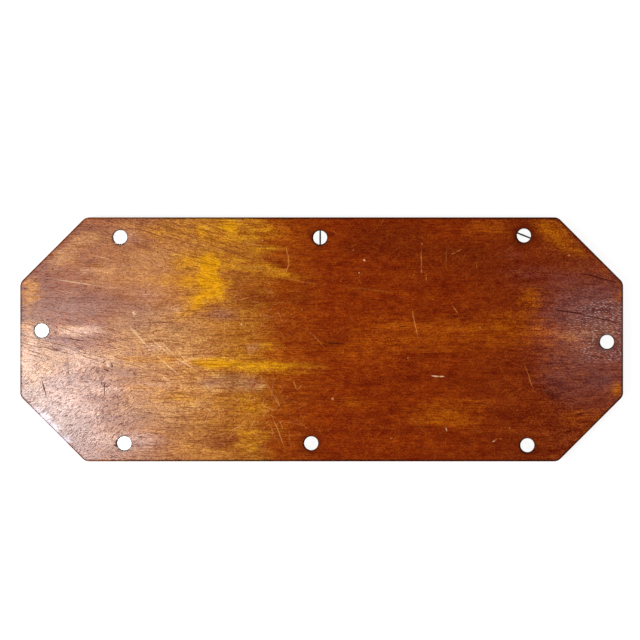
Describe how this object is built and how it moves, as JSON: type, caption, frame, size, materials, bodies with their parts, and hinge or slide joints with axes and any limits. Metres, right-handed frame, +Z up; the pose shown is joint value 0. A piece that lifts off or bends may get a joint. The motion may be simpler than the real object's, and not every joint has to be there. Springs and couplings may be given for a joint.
{
  "type": "transfer board",
  "caption": "Flat eight-sided mahogany plywood transfer board with cut corners, flush metal binding posts near its edge and a rubber foot under each of them.",
  "frame": {"origin": "under the middle of the board, on the surface that the feet stand on", "axes": "+X along the board, +Y across it towards the back edge, +Z up through the top face"},
  "size_m": [0.61, 0.247, 0.0175],
  "materials": {
    "mahogany_face": "worn gloss varnish, red-brown, grain along X",
    "mahogany_crossband": "stained and varnished edge, grain along Y",
    "mahogany_core": "stained and varnished edge, grain along X",
    "fastener_aluminium": "bright, lightly scratched",
    "washer_steel": "zinc plated",
    "foot_rubber": "matt black, dusty"
  },
  "bodies": {
    "root": {"bottom_face_veneer": "mahogany_face", "lower_crossband": "mahogany_crossband", "core_ply": "mahogany_core", "upper_crossband": "mahogany_crossband", "top_face_veneer": "mahogany_face", "foot_back_left": "foot_rubber", "washer_back_left": "washer_steel", "binding_post_back_left": "fastener_aluminium", "post_screw_back_left": "fastener_aluminium", "foot_back_middle": "foot_rubber", "washer_back_middle": "washer_steel", "binding_post_back_middle": "fastener_aluminium", "post_screw_back_middle": "fastener_aluminium", "foot_back_right": "foot_rubber", "washer_back_right": "washer_steel", "binding_post_back_right": "fastener_aluminium", "post_screw_back_right": "fastener_aluminium", "foot_right_end": "foot_rubber", "washer_right_end": "washer_steel", "binding_post_right_end": "fastener_aluminium", "post_screw_right_end": "fastener_aluminium", "foot_front_right": "foot_rubber", "washer_front_right": "washer_steel", "binding_post_front_right": "fastener_aluminium", "post_screw_front_right": "fastener_aluminium", "foot_front_middle": "foot_rubber", "washer_front_middle": "washer_steel", "binding_post_front_middle": "fastener_aluminium", "post_screw_front_middle": "fastener_aluminium", "foot_front_left": "foot_rubber", "washer_front_left": "washer_steel", "binding_post_front_left": "fastener_aluminium", "post_screw_front_left": "fastener_aluminium", "foot_left_end": "foot_rubber", "washer_left_end": "washer_steel", "binding_post_left_end": "fastener_aluminium", "post_screw_left_end": "fastener_aluminium"}
  },
  "joints": []
}
